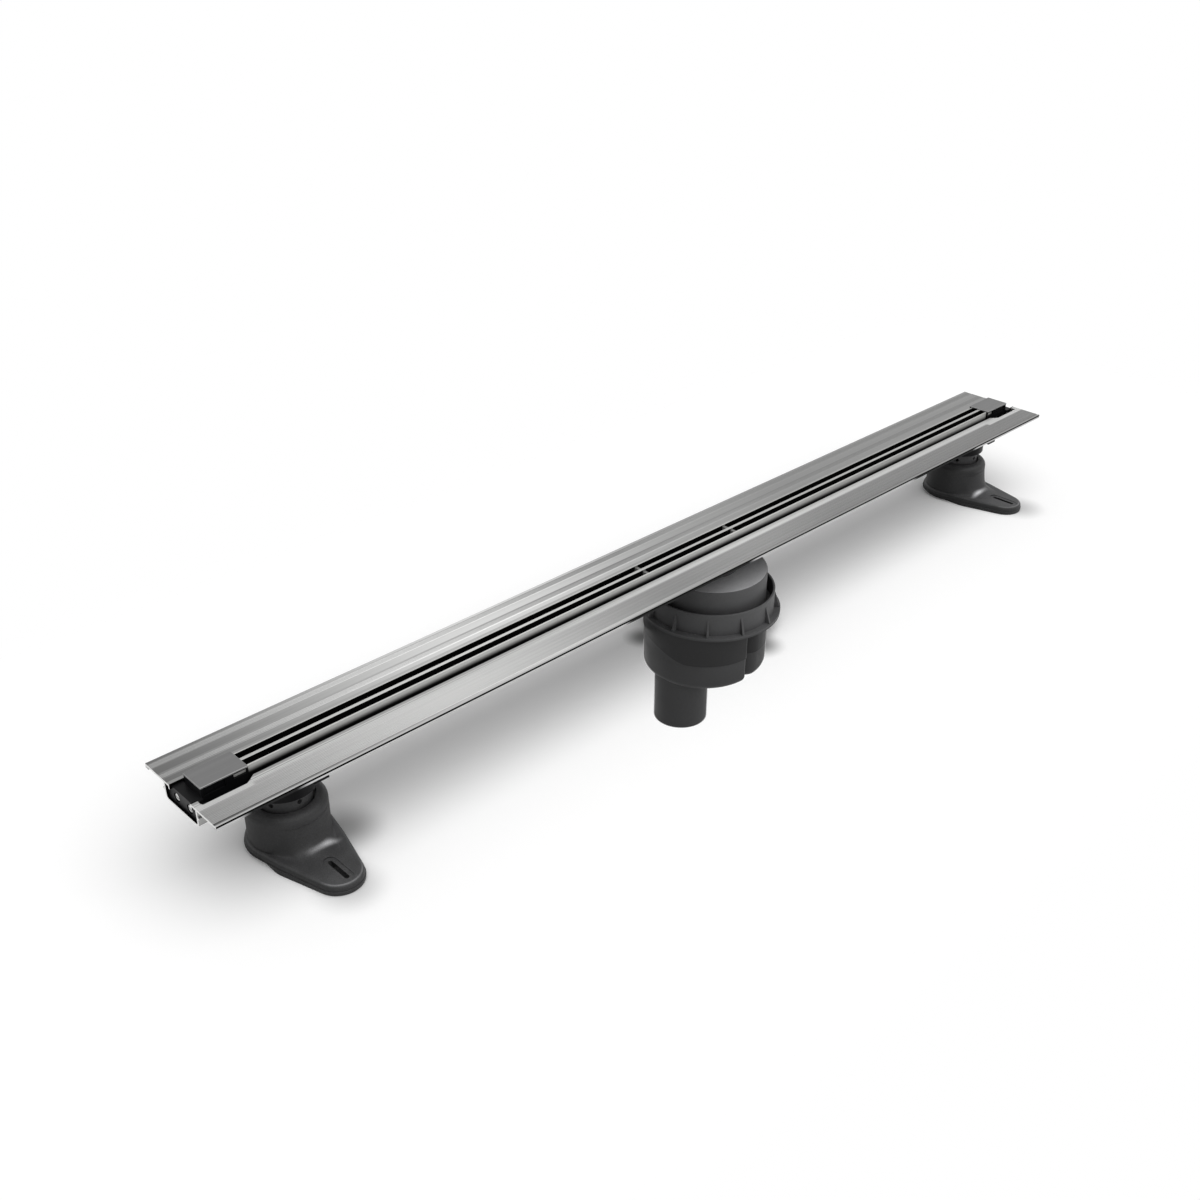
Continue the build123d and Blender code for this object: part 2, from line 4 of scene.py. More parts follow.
import bpy
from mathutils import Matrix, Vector


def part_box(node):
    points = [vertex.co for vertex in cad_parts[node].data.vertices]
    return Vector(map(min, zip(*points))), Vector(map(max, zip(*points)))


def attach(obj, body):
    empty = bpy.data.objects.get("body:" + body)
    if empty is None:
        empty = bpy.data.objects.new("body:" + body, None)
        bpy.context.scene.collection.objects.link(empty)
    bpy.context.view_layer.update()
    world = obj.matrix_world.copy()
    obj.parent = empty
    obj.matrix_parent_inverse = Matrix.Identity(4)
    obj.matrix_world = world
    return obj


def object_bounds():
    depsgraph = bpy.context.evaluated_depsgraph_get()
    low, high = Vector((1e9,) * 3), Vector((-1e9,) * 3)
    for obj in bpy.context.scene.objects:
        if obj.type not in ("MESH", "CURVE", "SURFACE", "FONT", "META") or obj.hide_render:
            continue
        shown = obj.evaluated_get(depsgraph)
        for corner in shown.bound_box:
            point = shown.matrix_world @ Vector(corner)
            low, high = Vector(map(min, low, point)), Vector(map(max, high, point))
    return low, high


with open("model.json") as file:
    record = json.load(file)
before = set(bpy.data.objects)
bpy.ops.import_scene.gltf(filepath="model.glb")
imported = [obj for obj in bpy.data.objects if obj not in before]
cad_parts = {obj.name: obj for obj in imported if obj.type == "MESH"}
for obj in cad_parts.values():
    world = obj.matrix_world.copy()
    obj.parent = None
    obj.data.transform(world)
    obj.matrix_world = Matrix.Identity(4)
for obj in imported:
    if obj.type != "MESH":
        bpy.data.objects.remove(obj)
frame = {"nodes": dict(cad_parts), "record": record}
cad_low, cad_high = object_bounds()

# A shower channel drain on a white ground: brushed and ribbed metal, black end blocks,
# dark grey trap and rubber boots. Metres; X along the channel, Z up, the flange's top at 0.170.

# Camera, in the row frame
CAMERA_PLACE = Vector((-0.7873, -0.7124, 0.7344))
CAMERA_AZIMUTH = radians(46.21)
CAMERA_DROP = radians(30.02)
CAMERA_LENS = 40.92

# Light: a very wide soft key from above and a little in front, and an even dome
WORLD_STRENGTH = 0.43
SUN_STRENGTH = 1.95
SUN_ANGLE = radians(85)
SUN_FROM = Vector((0.0, -0.383, 0.924))

# Floor: its gap under the soles, its reach past the drain, its soft limits and its tones
FLOOR_GAP = 0.0003
FLOOR_WIDTH = 0.42
FLOOR_END = 0.30
FLOOR_FADE = 0.12
FLOOR_COLOR = 0.8
FLOOR_SEEN = 1.03
FLOOR_SPLIT = 0.0360
PIT_EDGE = 0.0006

# Round parts of the trap, for the pit in the floor: centre on X, radius and lower end
TRAP_ROUNDS = ((0.0268, 0.0541, 0.0535), (0.0268, 0.0533, 0.0512), (0.0268, 0.0517, 0.0493),
               (0.0360, 0.0528, 0.0535), (0.0360, 0.0520, 0.0512), (0.0360, 0.0504, 0.0493),
               (0.0, 0.0246, 0.0))

# Painted shadows on the floor beside the trap and the boots: X, Y, radius and factor
PAINTED_FLOOR_SHADOWS = ((-0.0340, 0.0175, 0.022, 0.3), (0.0330, -0.0640, 0.026, 0.25),
               (-0.3800, -0.0190, 0.036, 0.42), (-0.4150, -0.0740, 0.034, 0.62),
               (0.4450, -0.0740, 0.034, 0.6))
# The painted shadows are darkest within this radius
PAINTED_SHADOW_CORE = 0.002

# Painted reflections along the metal: where the base tone changes along the channel, and a second
# painted highlight's place and half width
PAINTED_BASE_CHANGE = (-0.45, -0.05)
SECOND_PAINTED_HIGHLIGHT = (0.055, 0.13)

# Each metal's base tone at the near and the far end, which differ by painted reflection, its painted
# highlight's place, half width and tone, and the tone of the second painted highlight
RIBBED = (0.182, 0.195, -0.28, 0.25, 0.22, 0.045)
SMOOTH = (0.12, 0.25, -0.225, 0.30, 0.41, 0.05)
FRONT_LIP = (0.34, 0.48, -0.12, 0.25, -0.07, 0.02)
BACK_LIP = (0.25, 0.28, -0.235, 0.27, 0.19, 0.06)
BEAD = (0.43, 0.26, -0.26, 0.25, 0.10, 0.04)
RAIL = (0.44, 0.43, -0.20, 0.25, 0.10, 0.10)
BAR = (0.44, 0.38, -0.22, 0.25, 0.19, 0.06)

# Strips of the flange across the channel: from, to, softness and tone with its painted sheen
FLANGE_STRIPS = ((-0.0457, -0.0427, 0.0003, SMOOTH), (-0.0480, -0.0457, 0.0002, BEAD),
                 (-0.0221, -0.0130, 0.0018, FRONT_LIP), (0.0130, 0.01755, 0.0002, BACK_LIP),
                 (0.01755, 0.0237, 0.0003, SMOOTH), (0.0299, 0.0386, 0.0003, SMOOTH),
                 (0.0443, 0.0480, 0.0003, SMOOTH))

# Drawn lines in the metal: noise per metre on each axis for fine lines and broad streaks, and depth
FINE_LINES = (14.0, 2600.0, 2600.0)
BROAD_STREAKS = (2.5, 260.0, 260.0)
LINE_DEPTH = 0.00003

# Ribs: the strips that have them, their pitch, soft ends, depth and factors for the tone
RIBBED_STRIPS = ((-0.0425, -0.0245), (0.0238, 0.0298), (0.0387, 0.0443))
RIB_PITCH = 0.0011
RIB_SOFTNESS = 0.0003
RIB_DEPTH = 0.00004
RIB_FACTORS = (0.96, 1.04)

# Channel: the middle of its length, the notches' rim with a painted highlight, and the lips' fine line
CHANNEL_MIDDLE = 0.0088
NOTCH_RIM_HIGHLIGHT = (-0.0256, -0.0200)
NOTCH_ENDS = (-0.4490, 0.4450)
LIP_LINE = (0.0172, 0.0177)
LIP_LINE_FACTOR = 0.86

# The faces at both ends of the channel, as a distance from the end
END_FACE = 0.00003
END_SOFTNESS = 0.00002
END_TONE = 0.75

# Painted shade that blackens the inside of the trough and the lips' inner edges, and the tone of what
# is black
PAINTED_TROUGH_SHADE = 0.0206
PAINTED_TROUGH_SHADE_TOP = 0.1679
PAINTED_LIP_SHADE = (-0.0151, 0.0143)
BLACK = 0.003

# The flange's front face: a dark line at its top, and pale under it apart from three stretches of
# painted shade over the trap and the feet
FACE_START = -0.0469
EDGE_LINE = (0.1682, 0.1698)
EDGE_TONE = 0.7
EDGE_PAINTED_SHADE_TONE = 0.02
EDGE_PAINTED_SHADES = ((-0.470, -0.425), (-0.118, 0.036), (0.278, 0.385))
EDGE_FADE = 0.006

# The seals under the flange: where they show from outside, and how much paler they are there, apart
# from the edge's painted shade over the trap and the feet
SEAL_EDGE = 0.0430
SEAL_FACTOR = 90.0

# Insert: the bar, the slots blackened with painted shade, and the webs that show in them
BAR_EDGE = 0.0018
PAINTED_SLOT_SHADE_EDGE = 0.0081
PAINTED_SLOT_SHADE_TOP = 0.1745
WEBS = (-0.0537, 0.0588)
WEB_HALF = 0.0016
WEB_SHARE = 0.35

# The rails' outer sides, painted shade and light: black to light over a height, which sinks a little
# along the channel
FLANGE_TOP = 0.1700
RAIL_OUTSIDE = 0.00915
RAIL_SHADE = (-0.0024, 0.0028)
RAIL_LIT_FACTOR = 1.5
SHADE_START = -0.3
SHADE_SLOPE = 0.0014

# Covers of the end blocks: the tone of the top and the painted highlight on the edges
COVER_TONE = 0.17
COVER_EDGE_HIGHLIGHT = 0.3

# Directions: to the right of the photograph on the ground, and up
RIGHT = (0.722, -0.692, 0.0)
UP = (0.0, 0.0, 1.0)

# Trap, painted light and shade: factors for its left and right flanks and its tops, heights of the
# zones, and their factors for a painted lit lid, painted light above the disc and a painted shadow band
# under the disc
TRAP_PAINTED_LEAN = (0.75, 1.35, 1.2)
LID_EDGE = 0.1439
LID_PAINTED_LIGHT = 5.3
DISC_TOP = 0.1035
OVER_DISC_PAINTED_LIGHT = 1.4
BAND_TOP = 0.1018
BAND_BOTTOM = 0.0740
BAND_RISE = 0.012
BAND_PAINTED_SHADE = 0.4

# Boots: factors of painted shading for the left and right flanks and the tops, and the distance of the
# boots' axes from the channel's middle
BOOT_PAINTED_LEAN = (0.3, 0.8, 1.35)
BOOT_AXIS = 0.424

# The painted highlight in a boot's fold. Its place along the channel counts from the boot's axis
FOLD_ALONG = (-0.0140, 0.0020)
FOLD_ACROSS = (-0.0370, -0.0342)
FOLD_HEIGHT = (0.0962, 0.1022)
FOLD_HIGHLIGHT_FACTOR = 23.0

# The painted highlight round a boot's toe: the toe's centre on Y, the highlight's radii round it, where
# it starts in front of the centre, and its lowest height
TOE_CENTRE = -0.062
TOE_RIM = (0.0159, 0.0165)
TOE_START = -0.004
TOE_BOTTOM = 0.0965
TOE_HIGHLIGHT_FACTOR = 4.0

ENDS = ("near", "far")


class Look:
    """A material in the making: its Principled shader and short ways to add nodes."""

    def __init__(self, name, color, roughness, metallic=0.0, **sockets):
        self.material = bpy.data.materials.new(name)
        self.material.use_nodes = True
        self.material.diffuse_color = (*color, 1.0)
        self.nodes = self.material.node_tree.nodes
        self.links = self.material.node_tree.links
        self.shader = self.nodes["Principled BSDF"]
        self.shader.inputs["Base Color"].default_value = (*color, 1.0)
        self.shader.inputs["Roughness"].default_value = roughness
        self.shader.inputs["Metallic"].default_value = metallic
        for socket, value in sockets.items():
            self.shader.inputs[socket.replace("_", " ")].default_value = value
        self.place = self.nodes.new("ShaderNodeTexCoord").outputs["Object"]
        self.normal = None

    def math(self, operation, first, second=None, third=None):
        """A Math node; each input is a socket or a number."""
        node = self.nodes.new("ShaderNodeMath")
        node.operation = operation
        for index, value in enumerate((first, second, third)):
            self.feed(node.inputs[index], value)
        return node.outputs[0]

    def feed(self, socket, value):
        """Links a socket to another, or sets its value."""
        if value is None:
            return
        if isinstance(value, bpy.types.NodeSocket):
            self.links.new(value, socket)
        else:
            socket.default_value = value

    def axis(self, name):
        """One coordinate of the surface point, in metres."""
        node = self.nodes.new("ShaderNodeSeparateXYZ")
        self.links.new(self.place, node.inputs[0])
        return node.outputs[name]

    def painted_sheen(self, near, far, place, reach, highlight, second):
        """A tone along the channel: the metal's base tone with a painted change along it, and two soft
        painted highlights.
        """
        along = self.axis("X")
        tone = self.ramp(along, *PAINTED_BASE_CHANGE, near, far)
        for centre, width, height in ((place, reach, highlight), (*SECOND_PAINTED_HIGHLIGHT, second)):
            away = self.math("ABSOLUTE", self.math("SUBTRACT", along, centre))
            tone = self.math("ADD", tone, self.ramp(away, 0.0, width, height, 0.0))
        return tone

    def facing(self, direction):
        """How far the surface faces a direction, from -1 to 1."""
        geometry = self.nodes.new("ShaderNodeNewGeometry")
        node = self.nodes.new("ShaderNodeVectorMath")
        node.operation = "DOT_PRODUCT"
        self.links.new(geometry.outputs["Normal"], node.inputs[0])
        node.inputs[1].default_value = direction
        return node.outputs["Value"]

    def choose(self, mask, first, second):
        """The first value where the mask is 0 and the second where it is 1."""
        node = self.nodes.new("ShaderNodeMix")
        self.feed(node.inputs[0], mask)
        self.feed(node.inputs[2], first)
        self.feed(node.inputs[3], second)
        return node.outputs[0]

    def below(self, value, limit, soft=0.0001):
        """1 where a value is under a limit, 0 above it."""
        return self.ramp(value, limit - soft, limit + soft, 1.0, 0.0)

    def above(self, value, limit, soft=0.0001):
        """1 where a value is over a limit, 0 under it."""
        return self.ramp(value, limit - soft, limit + soft, 0.0, 1.0)

    def every(self, *masks):
        """1 where every mask is 1. Of factors it is the product."""
        result = masks[0]
        for mask in masks[1:]:
            result = self.math("MULTIPLY", result, mask)
        return result

    def either(self, *masks):
        """1 where some mask is 1."""
        result = masks[0]
        for mask in masks[1:]:
            result = self.math("MAXIMUM", result, mask)
        return result

    def other(self, mask):
        """1 where a mask is 0."""
        return self.math("SUBTRACT", 1.0, mask)

    def length(self, first, second):
        """The distance from the origin of a point in a plane."""
        squares = [self.math("MULTIPLY", value, value) for value in (first, second)]
        return self.math("SQRT", self.math("ADD", *squares))

    def noise(self, scale, detail=4.0, stretch=(1.0, 1.0, 1.0), roughness=0.55):
        """Noise of a scale in 1/m, stretched by a factor on each axis."""
        mapping = self.nodes.new("ShaderNodeMapping")
        mapping.inputs["Scale"].default_value = [scale * factor for factor in stretch]
        self.links.new(self.place, mapping.inputs["Vector"])
        node = self.nodes.new("ShaderNodeTexNoise")
        node.inputs["Scale"].default_value = 1.0
        node.inputs["Detail"].default_value = detail
        node.inputs["Roughness"].default_value = roughness
        self.links.new(mapping.outputs[0], node.inputs["Vector"])
        return node.outputs["Fac"]

    def ramp(self, value, low, high, start, end):
        """A value taken from the range low..high to start..end, smoothly."""
        node = self.nodes.new("ShaderNodeMapRange")
        node.interpolation_type = "SMOOTHSTEP"
        for socket, number in zip(("From Min", "From Max", "To Min", "To Max"),
                                  (low, high, start, end)):
            node.inputs[socket].default_value = number
        self.links.new(value, node.inputs["Value"])
        return node.outputs["Result"]

    def band(self, value, low, high, soft):
        """1 where a value lies between low and high, 0 outside, with soft edges."""
        rise = self.ramp(value, low - soft, low + soft, 0.0, 1.0)
        fall = self.ramp(value, high - soft, high + soft, 1.0, 0.0)
        return self.math("MULTIPLY", rise, fall)

    def mix(self, factor, first, second):
        """A colour mixed from two, each a socket or an RGB triple."""
        node = self.nodes.new("ShaderNodeMix")
        node.data_type = "RGBA"
        self.feed(node.inputs["Factor"], factor)
        for socket, value in ((node.inputs[6], first), (node.inputs[7], second)):
            self.feed(socket, value if isinstance(value, bpy.types.NodeSocket) else (*value, 1.0))
        return node.outputs[2]

    def color(self, value):
        """Takes the base colour from a socket."""
        self.links.new(value, self.shader.inputs["Base Color"])

    def roughness(self, value):
        """Takes the roughness from a socket."""
        self.links.new(value, self.shader.inputs["Roughness"])

    def bump(self, height, depth, strength=1.0):
        """Bumps of a depth in metres, on top of any bumps before."""
        node = self.nodes.new("ShaderNodeBump")
        node.inputs["Distance"].default_value = depth
        node.inputs["Strength"].default_value = strength
        self.links.new(height, node.inputs["Height"])
        if self.normal is not None:
            self.links.new(self.normal, node.inputs["Normal"])
        self.normal = node.outputs["Normal"]
        self.links.new(self.normal, self.shader.inputs["Normal"])


def drawn_lines(look, roughness):
    """Fine lines along X, from drawing or extruding. Returns a factor for the tone."""
    lines = look.noise(1.0, detail=3.0, stretch=FINE_LINES)
    streaks = look.noise(1.0, detail=2.0, stretch=BROAD_STREAKS)
    blend = look.math("ADD", look.math("MULTIPLY", lines, 0.5), look.math("MULTIPLY", streaks, 0.5))
    look.roughness(look.ramp(lines, 0.3, 0.7, roughness - 0.05, roughness + 0.07))
    look.bump(lines, LINE_DEPTH, 0.3)
    return look.ramp(blend, 0.35, 0.65, 0.94, 1.06)


def finish_metal(look, tone, dark, factor, tint, metallic):
    """Sets a metal's colour from its tone, black where dark is 1."""
    tone = look.math("MULTIPLY", tone, factor)
    tone = look.choose(dark, tone, BLACK)
    look.color(look.mix(tone, (0.0, 0.0, 0.0), tint))
    light = look.other(dark)
    look.feed(look.shader.inputs["Metallic"], look.math("MULTIPLY", light, metallic))
    look.feed(look.shader.inputs["Specular IOR Level"], look.math("MULTIPLY", light, 0.5))
    return look.material


def edge_tone(look):
    """The pale tone of the flange's outer edge, with painted shade over the trap and the feet."""
    along = look.axis("X")
    shades = [look.band(along, start, stop, EDGE_FADE) for start, stop in EDGE_PAINTED_SHADES]
    return look.choose(look.either(*shades), EDGE_TONE, EDGE_PAINTED_SHADE_TONE)


def ribs(look):
    """Fine ribs along the ribbed strips, as a factor for the tone."""
    across = look.axis("Y")
    wave = look.math("SINE", look.math("MULTIPLY", across, 2 * pi / RIB_PITCH))
    strips = [look.band(across, start, stop, RIB_SOFTNESS) for start, stop in RIBBED_STRIPS]
    wave = look.math("MULTIPLY", wave, look.either(*strips))
    look.bump(wave, RIB_DEPTH, 0.4)
    return look.ramp(wave, -1.0, 1.0, *RIB_FACTORS)


def flange_tone(look, across, along, from_end):
    """The tones of the flange's strips with their painted sheen, the notches' rims with a painted
    highlight, the lips' lines and the end faces.
    """
    # Painted sheen: reflections and highlights painted into every strip's tone
    tone = look.painted_sheen(*RIBBED)
    for start, stop, soft, strip in FLANGE_STRIPS:
        tone = look.choose(look.band(across, start, stop, soft), tone, look.painted_sheen(*strip))
    beyond = look.other(look.band(along, *NOTCH_ENDS, soft=0.002))
    # Painted highlight along the notches' rim
    rim = look.every(look.band(across, *NOTCH_RIM_HIGHLIGHT, soft=0.0004), beyond)
    tone = look.choose(rim, tone, look.painted_sheen(*FRONT_LIP))
    line = look.band(look.math("ABSOLUTE", across), *LIP_LINE, soft=0.0002)
    tone = look.math("MULTIPLY", tone, look.choose(line, 1.0, LIP_LINE_FACTOR))
    return look.choose(look.below(from_end, END_FACE, END_SOFTNESS), tone, END_TONE)


def profile_aluminium():
    """Extruded aluminium: ribbed and smooth strips with painted sheen, light lips, and painted shade
    that blackens the trough and the lips' inner edges.
    """
    look = Look("profile_aluminium", (0.4, 0.4, 0.4), 0.42, metallic=0.8)
    factor = look.math("MULTIPLY", drawn_lines(look, 0.42), ribs(look))
    across, height, along = look.axis("Y"), look.axis("Z"), look.axis("X")
    off_middle = look.math("ABSOLUTE", across)
    from_end = look.math("SUBTRACT", (cad_high.x - cad_low.x) / 2,
                         look.math("ABSOLUTE", look.math("SUBTRACT", along, CHANNEL_MIDDLE)))
    tone = flange_tone(look, across, along, from_end)
    face = look.below(across, FACE_START, soft=0.00005)
    # The front face takes the edge's tone, with painted shade over the trap and the feet
    tone = look.choose(look.every(face, look.below(height, EDGE_LINE[0])), tone, edge_tone(look))
    # Painted shade: the trough's inside and the lips' inner edges are painted black
    inside = look.every(look.below(off_middle, PAINTED_TROUGH_SHADE), look.below(height, PAINTED_TROUGH_SHADE_TOP))
    lips = look.band(across, *PAINTED_LIP_SHADE, soft=0.0002)
    line = look.every(face, look.band(height, *EDGE_LINE, soft=0.0001))
    dark = look.every(look.either(inside, lips, line), look.above(from_end, END_FACE, END_SOFTNESS))
    return finish_metal(look, tone, dark, factor, (1.0, 1.0, 0.99), 0.8)


def insert_steel():
    """Satin stainless of the rails and the bar with painted sheen, painted shade and light on the
    rails' outer sides, and painted shade that blackens the inside of the slots.
    """
    look = Look("insert_steel", (0.5, 0.5, 0.48), 0.4, metallic=0.2)
    factor = drawn_lines(look, 0.4)
    off_middle = look.math("ABSOLUTE", look.axis("Y"))
    height, along = look.axis("Z"), look.axis("X")
    # Painted sheen on the rails and the bar
    tone = look.choose(look.below(off_middle, BAR_EDGE), look.painted_sheen(*RAIL), look.painted_sheen(*BAR))
    # Painted shade and light on the rails' outer sides, by height
    lit = look.math("ADD", look.math("SUBTRACT", height, FLANGE_TOP),
                    look.math("MULTIPLY", look.math("SUBTRACT", along, SHADE_START), SHADE_SLOPE))
    side = look.ramp(lit, *RAIL_SHADE, 0.0, RAIL_LIT_FACTOR)
    outer = look.above(off_middle, RAIL_OUTSIDE, soft=0.00002)
    tone = look.math("MULTIPLY", tone, look.choose(outer, 1.0, side))
    # Painted shade: the inside of the slots is painted black, apart from the webs
    inner = look.every(look.below(off_middle, PAINTED_SLOT_SHADE_EDGE), look.below(height, PAINTED_SLOT_SHADE_TOP))
    webs = [look.band(along, place - WEB_HALF, place + WEB_HALF, soft=0.0001) for place in WEBS]
    pale = look.math("MULTIPLY", look.either(*webs), WEB_SHARE)
    dark = look.every(inner, look.other(pale))
    return finish_metal(look, tone, dark, factor, (1.0, 1.0, 0.97), 0.2)


def cover_steel():
    """Satin grey plates on the end blocks, with a fine painted highlight on their edges."""
    look = Look("cover_steel", (0.17, 0.17, 0.17), 0.45, metallic=0.8)
    factor = drawn_lines(look, 0.45)
    # Painted highlight on the faces that do not face up
    edge = look.below(look.facing(UP), 0.95, soft=0.03)
    tone = look.choose(edge, COVER_TONE, COVER_EDGE_HIGHLIGHT)
    return finish_metal(look, tone, 0.0, factor, (1.0, 1.0, 1.0), 0.8)


def stainless():
    """Plain stainless of the sieve and the small screws."""
    look = Look("stainless", (0.6, 0.6, 0.6), 0.3, metallic=1.0)
    wear = look.noise(900.0, detail=3.0)
    look.color(look.mix(wear, (0.5, 0.5, 0.5), (0.68, 0.68, 0.67)))
    look.roughness(look.ramp(wear, 0.3, 0.7, 0.24, 0.4))
    look.bump(wear, 0.00002, 0.3)
    return look.material


def plastic(name, color, roughness, grain, depth, variation=0.25, specular=0.5, zones=None):
    """Moulded plastic or rubber with a fine grain and slightly uneven colour."""
    look = Look(name, color, roughness, Specular_IOR_Level=specular)
    cells = look.noise(grain, detail=3.0)
    patches = look.noise(45.0, detail=2.0)
    darker = tuple(channel * (1 - variation) for channel in color)
    lighter = tuple(channel * (1 + variation) for channel in color)
    blend = look.math("ADD", look.math("MULTIPLY", cells, 0.55), look.math("MULTIPLY", patches, 0.45))
    base = look.mix(look.ramp(blend, 0.35, 0.65, 0.0, 1.0), darker, lighter)
    if zones:
        scale = look.nodes.new("ShaderNodeVectorMath")
        scale.operation = "SCALE"
        look.feed(scale.inputs[0], base)
        look.feed(scale.inputs["Scale"], zones(look))
        base = scale.outputs["Vector"]
    look.color(base)
    look.roughness(look.ramp(patches, 0.3, 0.7, roughness - 0.05, roughness + 0.07))
    look.bump(cells, depth, 0.5)
    return look.material


def painted_lean(look, left, right, top):
    """Painted shading: a factor that goes from the left to the right flanks, and another for the faces
    on top.
    """
    flank = look.ramp(look.facing(RIGHT), -1.0, 1.0, left, right)
    return look.choose(look.above(look.facing(UP), 0.7, soft=0.25), flank, top)


def seal_zones(look):
    """Black rubber, pale where the seal shows under the flange's outer edge, apart from the edge's
    painted shade over the trap and the feet.
    """
    # The seal takes the edge's tone, with its painted shade over the trap and the feet
    outside = look.above(look.math("ABSOLUTE", look.axis("Y")), SEAL_EDGE)
    return look.choose(outside, 1.0, look.math("MULTIPLY", edge_tone(look), SEAL_FACTOR))


def trap_zones(look):
    """A lid lit with painted light, a painted shadow band under the disc, painted light above the disc,
    and flanks that darken to the left with painted shade.
    """
    height = look.axis("Z")
    left = look.math("MULTIPLY", look.facing(RIGHT), -1.0)
    # Painted shading by facing, painted light on the lid and above the disc, and a painted shadow band
    # under the disc
    tone = painted_lean(look, *TRAP_PAINTED_LEAN)
    lid = look.every(look.above(look.facing(UP), 0.8, soft=0.1),
                     look.above(height, LID_EDGE, soft=0.0004))
    tone = look.choose(lid, tone, LID_PAINTED_LIGHT)
    lower = look.math("SUBTRACT", height, look.ramp(left, 0.3, 1.0, 0.0, BAND_RISE))
    band = look.every(look.above(lower, BAND_BOTTOM, soft=0.0003),
                      look.below(height, BAND_TOP, soft=0.0003))
    tone = look.math("MULTIPLY", tone, look.choose(band, 1.0, BAND_PAINTED_SHADE))
    return look.math("MULTIPLY", tone, look.choose(look.above(height, DISC_TOP), 1.0, OVER_DISC_PAINTED_LIGHT))


def boot_zones(look):
    """Flanks darker and a toe lighter with painted shading, and soft painted highlights in the fold and
    round the toe.
    """
    # Painted shading by facing
    tone = painted_lean(look, *BOOT_PAINTED_LEAN)
    along = look.math("SUBTRACT", look.axis("X"), CHANNEL_MIDDLE)
    along = look.math("SUBTRACT", look.math("ABSOLUTE", along), BOOT_AXIS)
    across, height = look.axis("Y"), look.axis("Z")
    # Painted highlight in the fold
    fold = look.every(look.band(along, *FOLD_ALONG, soft=0.009),
                      look.band(across, *FOLD_ACROSS, soft=0.0026),
                      look.band(height, *FOLD_HEIGHT, soft=0.002))
    tone = look.choose(fold, tone, FOLD_HIGHLIGHT_FACTOR)
    # Painted highlight round the toe
    from_toe = look.math("SUBTRACT", across, TOE_CENTRE)
    rim = look.every(look.band(look.length(along, from_toe), *TOE_RIM, soft=0.0006),
                     look.below(from_toe, TOE_START, soft=0.006),
                     look.above(height, TOE_BOTTOM, soft=0.0008))
    return look.choose(rim, tone, TOE_HIGHLIGHT_FACTOR)


def materials():
    """The finish of each material slot."""
    return {
        "profile_aluminium": profile_aluminium(),
        "insert_steel": insert_steel(),
        "cover_steel": cover_steel(),
        "stainless": stainless(),
        "black_plastic": plastic("black_plastic", (0.005, 0.005, 0.0055), roughness=0.38,
                                 grain=1600.0, depth=0.00003, specular=0.08),
        "spindle_plastic": plastic("spindle_plastic", (0.045, 0.045, 0.046), roughness=0.5,
                                   grain=1400.0, depth=0.00004, specular=0.25),
        "inlet_plastic": plastic("inlet_plastic", (0.02, 0.02, 0.021), roughness=0.45,
                                 grain=1400.0, depth=0.00003),
        "trap_plastic": plastic("trap_plastic", (0.046, 0.046, 0.047), roughness=0.5,
                                grain=1300.0, depth=0.00003, variation=0.1, specular=0.2,
                                zones=trap_zones),
        "boot_rubber": plastic("boot_rubber", (0.045, 0.045, 0.046), roughness=0.5,
                               grain=1100.0, depth=0.0001, specular=0.25, zones=boot_zones),
        "seal_rubber": plastic("seal_rubber", (0.01, 0.01, 0.01), roughness=0.7,
                               grain=1500.0, depth=0.00003, variation=0.08, specular=0.1,
                               zones=seal_zones),
    }


def dress_nodes():
    """Gives every CAD node the finish of its slot."""
    finishes = materials()
    slots = {part["node"]: part["material_slot"] for part in frame["record"]["subparts"]}
    for node, piece in frame["nodes"].items():
        piece.data.materials.clear()
        piece.data.materials.append(finishes[slots[node]])


def make_camera():
    """The photograph's viewpoint."""
    camera = bpy.data.objects.new("camera", bpy.data.cameras.new("camera"))
    bpy.context.scene.collection.objects.link(camera)
    camera.location = CAMERA_PLACE
    forward = Vector((cos(CAMERA_DROP) * cos(CAMERA_AZIMUTH),
                      cos(CAMERA_DROP) * sin(CAMERA_AZIMUTH), -sin(CAMERA_DROP)))
    camera.rotation_mode = "QUATERNION"
    camera.rotation_quaternion = forward.to_track_quat("-Z", "Y")
    camera.data.lens = CAMERA_LENS
    camera.data.clip_start = 0.01
    camera.data.clip_end = 50.0
    bpy.context.scene.camera = camera


def make_world():
    """Soft even light, and a white background for camera, gloss and glass."""
    world = bpy.data.worlds.new("studio")
    world.use_nodes = True
    bpy.context.scene.world = world
    nodes, links = world.node_tree.nodes, world.node_tree.links
    soft, white = nodes["Background"], nodes.new("ShaderNodeBackground")
    for background, strength in ((soft, WORLD_STRENGTH), (white, 1.0)):
        background.inputs["Color"].default_value = (1.0, 1.0, 1.0, 1.0)
        background.inputs["Strength"].default_value = strength
    path = nodes.new("ShaderNodeLightPath")
    seen = path.outputs["Is Camera Ray"]
    for ray in ("Is Glossy Ray", "Is Transmission Ray"):
        more = nodes.new("ShaderNodeMath")
        more.operation = "MAXIMUM"
        links.new(seen, more.inputs[0])
        links.new(path.outputs[ray], more.inputs[1])
        seen = more.outputs[0]
    mix = nodes.new("ShaderNodeMixShader")
    links.new(seen, mix.inputs[0])
    links.new(soft.outputs[0], mix.inputs[1])
    links.new(white.outputs[0], mix.inputs[2])
    links.new(mix.outputs[0], nodes["World Output"].inputs["Surface"])


def make_sun():
    """The key light, from the front and high up."""
    sun = bpy.data.objects.new("key_light", bpy.data.lights.new("key_light", "SUN"))
    bpy.context.scene.collection.objects.link(sun)
    sun.data.energy = SUN_STRENGTH
    sun.data.angle = SUN_ANGLE
    sun.rotation_mode = "QUATERNION"
    sun.rotation_quaternion = SUN_FROM.to_track_quat("Z", "Y")


